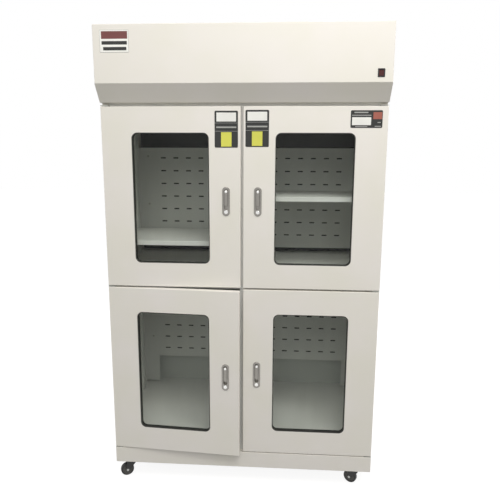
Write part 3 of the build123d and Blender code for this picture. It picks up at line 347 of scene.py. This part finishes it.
# ---- Window gaskets and door seals ----
# An extruded ring of dull black rubber lines each window and holds its pane in a groove. A flat grey
# magnetic strip on the front frame goes round the opening behind each door.
def moulded(name, colour, roughness, grain, depth):
    """Moulded or extruded plastic or rubber. The grain, of that many millimetres, stands up by up to
    that many thousandths of a millimetre and shifts the roughness by 0.08. Patches twenty times as long
    scale the colour by 0.85 to 1.2."""
    material, tree = new_material(name)
    place = add(tree, "ShaderNodeTexCoord").outputs["Object"]
    pores = add(tree, "ShaderNodeTexNoise", Vector=place, Scale=per_mm(grain), Detail=3.0).outputs["Fac"]
    patch_scale = per_mm(grain * 20)
    worn = add(tree, "ShaderNodeTexNoise", Vector=place, Scale=patch_scale, Detail=2.0).outputs["Fac"]
    pale = add(tree, "ShaderNodeMapRange", Value=worn, To_Min=0.85, To_Max=1.2).outputs[0]
    tone = add(tree, "ShaderNodeVectorMath", (("operation", "SCALE"),), n0=linear(colour)[:3], Scale=pale)
    dulled = add(
        tree, "ShaderNodeMapRange", Value=pores, To_Min=roughness - 0.08, To_Max=roughness + 0.08
    )
    skin = add(tree, "ShaderNodeBump", Height=pores, Strength=0.5, Distance=depth / 1e6)
    plastic = add(
        tree,
        "ShaderNodeBsdfPrincipled",
        Base_Color=tone.outputs[0],
        Roughness=dulled.outputs[0],
        IOR=1.5,
        Normal=skin.outputs[0],
    )
    add(tree, "ShaderNodeOutputMaterial", Surface=plastic.outputs[0])
    return material


black_rubber = moulded("black_extruded_rubber", "#2C2D2A", 0.62, 1.5, 60)
grey_rubber = moulded("grey_magnetic_strip", "#5A5A52", 0.60, 2.0, 40)
finish_nodes(black_rubber, *(f"window_gasket_{door}" for door in door_names))
finish_nodes(grey_rubber, "door_seals")

# ---- Window panes ----
# Clear toughened float glass, 5 mm thick, with the faint green-grey of its iron. Light from the lamps
# and from the room reaches through it, so the bays are lit. Wiping has left faint, broad streaks. Its
# index is below the usual 1.5, so that the white room mirrored in it doesn't veil the bays.
pane_tint = "#F3F5F3"
streak_tint = "#E6E8E6"
lamp_tint = "#F3F5F3"
pane_index = 1.2
float_glass, tree = new_material("toughened_float_glass")
place = add(tree, "ShaderNodeTexCoord").outputs["Object"]
wiped = add(tree, "ShaderNodeMapping", Vector=place, Scale=(1.0, 1.0, 0.25)).outputs[0]
streaks = add(tree, "ShaderNodeTexNoise", Vector=wiped, Scale=per_mm(60), Detail=4.0).outputs["Fac"]
kind = (("data_type", "RGBA"),)
tinted = add(tree, "ShaderNodeMix", kind, n0=streaks, n6=linear(pane_tint), n7=linear(streak_tint))
pane = add(
    tree,
    "ShaderNodeBsdfPrincipled",
    Base_Color=tinted.outputs[2],
    Roughness=0.0,
    IOR=pane_index,
    Transmission_Weight=1.0,
)
clear = add(tree, "ShaderNodeBsdfTransparent", Color=linear(lamp_tint))
path = add(tree, "ShaderNodeLightPath").outputs
most = (("operation", "MAXIMUM"),)
lighting = add(tree, "ShaderNodeMath", most, n0=path["Is Shadow Ray"], n1=path["Is Diffuse Ray"])
glazing = add(
    tree, "ShaderNodeMixShader", Fac=lighting.outputs[0], n1=pane.outputs[0], n2=clear.outputs[0]
)
add(tree, "ShaderNodeOutputMaterial", Surface=glazing.outputs[0])
finish_nodes(float_glass, *(f"window_glass_{door}" for door in door_names))

# ---- Door handles and locks ----
# A die-cast zinc base is sunk into each door, and its lever hangs on a pin near the top. Both are
# nickel-plated and brushed lengthwise to a satin finish. The key cylinder is polished chrome.
satin_nickel = plated_metal("satin_nickel_plate", "#9C9994", "#85827C", 0.30, 2, 6)
polished_chrome = plated_metal("polished_chrome", "#EDEDEB", "#DCDCDA", 0.09, 3, 1)
finish_nodes(satin_nickel, *(f"handle_base_{door}" for door in door_names))
finish_nodes(satin_nickel, *(f"handle_lever_{door}" for door in door_names))
finish_nodes(polished_chrome, *(f"lock_plug_{door}" for door in door_names))

# ---- Rocker switch and power inlet ----
# Moulded black nylon with a satin surface: a bezel set in the hood's front, and a socket flush with the
# rear panel. The rocker that tilts in the bezel is of glossy polycarbonate, tinted dark red.
black_nylon = moulded("black_moulded_nylon", "#1B1B1D", 0.45, 1.0, 40)
red_rocker = moulded("red_tinted_polycarbonate", "#4A1714", 0.22, 2.0, 10)
finish_nodes(black_nylon, "switch_bezel", "power_inlet")
finish_nodes(red_rocker, "switch_rocker")

# ---- Filter, fan housing, motor and impeller ----
# Hidden in the hood: matt off-white paper, pleated in a frame over the intake, a zinc-plated plenum with
# large spangles on top of it, a motor in black lacquer on its struts, and moulded dark grey blades.
filter_paper = moulded("pleated_filter_paper", "#E2E1D8", 0.85, 1.2, 120)
housing_zinc = plated_metal("galvanised_sheet", "#B5B7B8", "#949798", 0.42, 18, 1)
motor_black = moulded("black_motor_lacquer", "#232426", 0.38, 2.0, 30)
blade_grey = moulded("grey_moulded_blades", "#3A3B3E", 0.50, 1.5, 40)
finish_nodes(filter_paper, "filter_cartridge")
finish_nodes(housing_zinc, "fan_housing")
finish_nodes(motor_black, "fan_motor")
finish_nodes(blade_grey, "fan_impeller")

# ---- Caster forks and plates ----
# Pressed steel with a smooth black lacquer: a plate bolted under the base, and below it a yoke that
# swivels and carries the wheel's axle.
caster_names = ("front_left", "front_right", "rear_left", "rear_right")
black_lacquer = moulded("black_lacquered_steel", "#19191A", 0.34, 3.0, 25)
finish_nodes(black_lacquer, "caster_plates", *(f"caster_fork_{caster}" for caster in caster_names))

# ---- Caster wheels ----
# A grey nylon centre with a dished web, in a black tyre with a crowned tread and rounded shoulders. The
# wheel is bored for the axle, and a fine groove shows where the tyre is moulded on. Sizes in mm.
joints = {joint["name"]: joint for joint in frame["record"]["behaviour"]["joints"]}


def arc(along, radius, bend, start, end, steps=7):
    """Points of an arc in (along, radius): the centre plus bend * (cos a, sin a), a in degrees."""
    turn = np.radians(np.linspace(start, end, steps))
    return np.stack([along + bend * np.cos(turn), radius + bend * np.sin(turn)], -1)


def turned(profile, centre, axis, steps=64):
    """Rings of a turned surface: centre + along * axis + radius * (cos t * across + sin t * upright), for
    a profile of (along, radius) in mm."""
    axis = Vector(axis).normalized()
    across = axis.orthogonal().normalized()
    upright = axis.cross(across)
    along, radius = np.asarray(profile, float).T[:, :, None, None] / 1000
    turn = np.arange(steps)[:, None] * 2 * np.pi / steps
    ring = np.cos(turn) * np.array(across) + np.sin(turn) * np.array(upright)
    return np.array(centre) + along * np.array(axis) + radius * ring


def grid_faces(rows, columns, capped=True):
    """Quads of a grid of points whose columns run round and close. The first and last rows get a cap
    each, or else the last row joins the first."""
    row, column = np.mgrid[0 : rows - 1 if capped else rows, 0:columns]
    below = row * columns
    above = (row + 1) % rows * columns
    aside = (column + 1) % columns
    quads = np.stack([below + column, below + aside, above + aside, above + column], -1)
    quads = quads.reshape(-1, 4).tolist()
    if not capped:
        return quads
    return quads + [list(range(columns))[::-1], list(range((rows - 1) * columns, rows * columns))]


def volume_of(points, faces):
    """Signed volume: a sixth of the sum of corner products over the triangles of a fan in each face."""
    fans = [(face[0], face[i], face[i + 1]) for face in faces for i in range(1, len(face) - 1)]
    a, b, c = (points[[fan[k] for fan in fans]] for k in range(3))
    return float((a * np.cross(b, c)).sum() / 6)


def make_piece(name, points, faces, material, body):
    """Puts points and faces into a closed mesh that faces outwards, and lets it ride on a body."""
    points = np.asarray(points, float).reshape(-1, 3)
    if volume_of(points - points.mean(0), faces) < 0:
        faces = [face[::-1] for face in faces]
    mesh = bpy.data.meshes.new(name)
    mesh.from_pydata(points.tolist(), [], faces)
    mesh.shade_smooth()
    mesh.set_sharp_from_angle(angle=radians(35))
    mesh.materials.append(material)
    piece = bpy.data.objects.new(name, mesh)
    scene.collection.objects.link(piece)
    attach(piece, body)
    return piece


tyre_black = moulded("black_tyre_rubber", "#1D1D1E", 0.55, 1.5, 60)
centre_grey = moulded("grey_moulded_nylon", "#4B4A47", 0.48, 1.2, 40)
wheel_radius = 31.0
tyre_half = 11.0
tyre_bore = 23.3
shoulder_bend = 4.6
crown_rise = 0.4
hub_half = 12.2
hub_radius = 9.0
hub_chamfer = 0.8
axle_bore = 4.05
web_half = 8.0
web_hollow = 1.0
rim_half = 10.6
rim_bore = 21.2
moulding_gap = 0.1
shoulder = (tyre_half - shoulder_bend, wheel_radius - crown_rise - shoulder_bend)
crown = np.linspace(shoulder[0], -shoulder[0], 9)[1:-1]
tread = np.stack([crown, wheel_radius - crown_rise * (crown / shoulder[0]) ** 2], -1)
left_shoulder = arc(-shoulder[0], shoulder[1], shoulder_bend, 90, 180)
right_shoulder = arc(*shoulder, shoulder_bend, 0, 90)
right_edge, left_edge = [(tyre_half, tyre_bore)], [(-tyre_half, tyre_bore)]
tyre_profile = np.concatenate([right_edge, right_shoulder, tread, left_shoulder, left_edge])
centre_side = [
    # along and radius: the hub's end, from the bore to its chamfer
    (hub_half, axle_bore),
    (hub_half, hub_radius - hub_chamfer),
    (hub_half - hub_chamfer, hub_radius),
    # the dished web, between its two hollows
    (web_half + web_hollow, hub_radius),
    (web_half, hub_radius + web_hollow),
    (web_half, rim_bore - 2.6),
    (web_half + 0.4, rim_bore - 1.6),
    # the rim, with the groove beside the tyre
    (rim_half - 0.5, rim_bore - 0.6),
    (rim_half, rim_bore),
    (rim_half, tyre_bore - 0.5),
    (rim_half - 0.6, tyre_bore - moulding_gap),
]
centre_profile = centre_side + [(-along, radius) for along, radius in centre_side[::-1]]
for caster in caster_names:
    roll = joints[f"wheel_{caster}_roll"]
    for part, profile, finish in (
        ("tyre", tyre_profile, tyre_black),
        ("centre", centre_profile, centre_grey),
    ):
        rings = turned(profile, roll["pos_m"], roll["axis"])
        faces = grid_faces(len(profile), rings.shape[1], capped=False)
        name = f"caster_{part}_{caster}"
        wheel = make_piece(name, rings, faces, finish, f"wheel_{caster}")
        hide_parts(f"caster_wheel_{caster}")

# ---- Axle rivets and plate bolts ----
# Zinc-plated steel: the axle is riveted over on both sides of the fork, and four hexagon bolts with
# washers hold each plate under the base. Sizes in mm, but for those with _m, which are in metres.
bolt_zinc = plated_metal("zinc_plated_bolts", "#B4B5B2", "#8F908C", 0.40, 3, 1)
rivet_radius = 6.2
rivet_height = 2.0
fork_half = 16.0
plate_bolt_reach = (30.0, 23.0)
caster_plate_m = 0.003
underside_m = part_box("caster_plates")[1].z - caster_plate_m
flat_to_flat = 10.0
corner_radius = flat_to_flat / 2 / cos(radians(30))
rivet_turn = np.linspace(0, np.pi / 2, 7)[:-1]
rivet_profile = np.stack([rivet_height * np.sin(rivet_turn), rivet_radius * np.cos(rivet_turn)], -1)
washer_radius = 6.0
washer_edge = 0.2
washer_thickness = 1.1
head_end = 4.9  # below the plate
head_chamfer = (0.6, 0.9)
washer_profile = [
    (0, washer_radius),
    (washer_thickness - washer_edge, washer_radius),
    (washer_thickness, washer_radius - washer_edge),
]
head_profile = [
    (washer_thickness, corner_radius),
    (head_end - head_chamfer[0], corner_radius),
    (head_end, corner_radius - head_chamfer[1]),
]
for caster in caster_names:
    roll = joints[f"wheel_{caster}_roll"]
    axis = Vector(roll["axis"])
    for side_name, side in (("a", 1), ("b", -1)):
        seat = Vector(roll["pos_m"]) + axis * side * fork_half / 1000
        rings = turned(rivet_profile, seat, axis * side, steps=32)
        faces = grid_faces(len(rivet_profile), rings.shape[1])
        name = f"axle_rivet_{side_name}_{caster}"
        make_piece(name, rings, faces, bolt_zinc, f"caster_{caster}")
    middle = joints[f"caster_{caster}_swivel"]["pos_m"]
    corners = [(x, y) for x in (-1, 1) for y in (-1, 1)]
    for corner_number, (x, y) in enumerate(corners):
        seat_x = middle[0] + x * plate_bolt_reach[0] / 1000
        seat_y = middle[1] + y * plate_bolt_reach[1] / 1000
        for part, profile, steps in (("washer", washer_profile, 24), ("bolt", head_profile, 6)):
            rings = turned(profile, (seat_x, seat_y, underside_m), (0, 0, -1), steps)
            faces = grid_faces(len(profile), steps)
            name = f"plate_{part}_{corner_number}_{caster}"
            make_piece(name, rings, faces, bolt_zinc, "cabinet")

# ---- Pivot caps on the handle levers ----
# A small dome of polished chrome is pressed onto the front of each lever near its top end, over the pin
# that the lever turns on. Sizes in mm.
cap_radius = 5.4
cap_height = 1.9
lever_front = 7.9  # before the middle of the lever's pin
dome_turn = np.linspace(0, np.pi / 2, 9)[:-1]
cap_profile = np.stack([cap_height * np.sin(dome_turn), cap_radius * np.cos(dome_turn)], -1)
for door in door_names:
    outward = Vector(joints[f"lock_{door}_turn"]["axis"])
    seat = Vector(joints[f"lever_{door}_lift"]["pos_m"]) + outward * lever_front / 1000
    rings = turned(cap_profile, seat, outward, steps=48)
    faces = grid_faces(len(cap_profile), rings.shape[1])
    make_piece(f"lever_cap_{door}", rings, faces, polished_chrome, f"lever_{door}")

# ---- Blank label plates on the upper doors and the hood ----
# Thin acrylic plates, stuck on, with plain printed fields and bars: a tall one on each upper door, a wide
# one at the right door's outer edge, and a framed sign at the left end of the hood. Sizes in mm.
plate_thickness = 0.8
plate_corner = 5.0
plate_bevel = 0.2
ink_thickness = 0.12


def rounded_outline(width, height, corner, steps=8):
    """Points of a rounded rectangle about the origin: four quarter circles about the corner centres."""
    quarter = np.linspace(0, np.pi / 2, steps)
    turn = (quarter + np.arange(4)[:, None] * np.pi / 2).reshape(-1)
    sign_x = np.repeat([1, -1, -1, 1], steps)
    sign_z = np.repeat([1, 1, -1, -1], steps)
    x = sign_x * (width / 2 - corner) + corner * np.cos(turn)
    z = sign_z * (height / 2 - corner) + corner * np.sin(turn)
    return np.stack([x, z], -1)


def plate(name, low, high, corner, back, thickness, material, body):
    """A plate from low to high in X and Z with rounded corners. Its rings are the outline at the back,
    the same at the front less the bevel, and the outline drawn in by the bevel at the front. The bevel is
    at most half the thickness."""
    centre, size = np.add(low, high) / 2, np.subtract(high, low)
    bevel = min(plate_bevel, thickness / 2)
    rings = (
        # how far the outline is drawn in, and how far it stands before the back
        (0.0, 0.0),
        (0.0, thickness - bevel),
        (bevel, thickness),
    )
    points = []
    for inset, stand in rings:
        outline = centre + rounded_outline(*(size - 2 * inset), corner - inset)
        points.append(np.insert(outline, 1, back - stand, axis=1))
    faces = grid_faces(len(rings), len(points[0]))
    make_piece(name, np.array(points) / 1000, faces, material, body)


def print_ink(name, colour):
    """Screen-printed ink on acrylic. It is even, with a faint mottle of 5 mm and a satin gloss."""
    return moulded(name, colour, 0.35, 5.0, 4)


black_ink = print_ink("black_printed_acrylic", "#1E1F1D")
white_ink = print_ink("white_printed_field", "#EFEFEA")
yellow_ink = print_ink("yellow_printed_field", "#D8D75A")
red_ink = print_ink("red_printed_field", "#A05A4C")
dark_red_ink = print_ink("dark_red_printed_band", "#6E3A38")
grey_ink = print_ink("grey_printed_bar", "#A9AAA6")
door_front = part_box("door_upper_left")[0].y * 1000
hood_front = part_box("hood_casing")[0].y * 1000
label_front = door_front - plate_thickness
sign_front = hood_front - plate_thickness

tall_label = (98.0, 150.5)
tall_fields = (
    # name, width, top and bottom below the plate's top, corner, ink
    ("blank_field", 82, 7.5, 43.5, 1.0, white_ink),
    ("upper_line", 96, 49, 50.2, 0.4, grey_ink),
    ("print_bar", 84, 64, 70, 1.0, grey_ink),
    ("lower_line", 96, 82.5, 83.7, 0.4, grey_ink),
    ("yellow_field", 44, 87, 146, 0.8, yellow_ink),
)
for side_name, label_x, label_top in (("left", -66.0, 1714.7), ("right", 63.5, 1717.9)):
    body = f"door_upper_{side_name}"
    low = (label_x - tall_label[0] / 2, label_top - tall_label[1])
    high = (label_x + tall_label[0] / 2, label_top)
    label = f"label_{side_name}"
    plate(label, low, high, plate_corner, door_front, plate_thickness, black_ink, body)
    for field_name, width, field_top, field_bottom, corner, ink in tall_fields:
        low = (label_x - width / 2, label_top - field_bottom)
        high = (label_x + width / 2, label_top - field_top)
        plate(f"{label}_{field_name}", low, high, corner, label_front, ink_thickness, ink, body)

wide_fields = (
    # name, lowest and highest X and Z, corner, ink
    ("blank_field", (452.5, 1656.6), (529.5, 1688.3), 1.0, white_ink),
    ("red_field", (538, 1680.7), (573.5, 1708.4), 1.5, red_ink),
    ("upper_bar", (461, 1705), (517, 1709.5), 1.0, grey_ink),
    ("middle_bar", (452, 1694.5), (530, 1697.5), 1.0, grey_ink),
    ("lower_bar", (466, 1649), (515, 1652), 1.0, grey_ink),
    ("right_bar_a", (556, 1666), (568.5, 1669), 0.8, grey_ink),
    ("right_bar_b", (545, 1650.5), (570, 1653.5), 0.8, grey_ink),
)
body = "door_upper_right"
low, high = (446.7, 1645.5), (575.8, 1716)
plate("label_wide", low, high, plate_corner, door_front, plate_thickness, black_ink, body)
for field_name, low, high, corner, ink in wide_fields:
    plate(f"label_wide_{field_name}", low, high, corner, label_front, ink_thickness, ink, body)

sign_fields = (
    # name, lowest and highest X and Z, corner, ink
    ("face", (-569, 1938.2), (-452.5, 2022.5), 2.5, white_ink),
    ("band", (-563, 1989), (-456.5, 2018), 0.8, dark_red_ink),
    ("upper_bar", (-562, 1967), (-458.5, 1980.5), 1.5, black_ink),
    ("lower_bar", (-556.5, 1945), (-461.5, 1958), 1.5, black_ink),
)
body = "cabinet"
low, high = (-570, 1937.2), (-451.5, 2023.5)
sign_corner = 3.0
plate("sign", low, high, sign_corner, hood_front, plate_thickness, grey_ink, body)
back = sign_front
for field_name, low, high, corner, ink in sign_fields:
    plate(f"sign_{field_name}", low, high, corner, back, ink_thickness, ink, body)
    # the first field is the face, and the others lie on it
    back = sign_front - ink_thickness
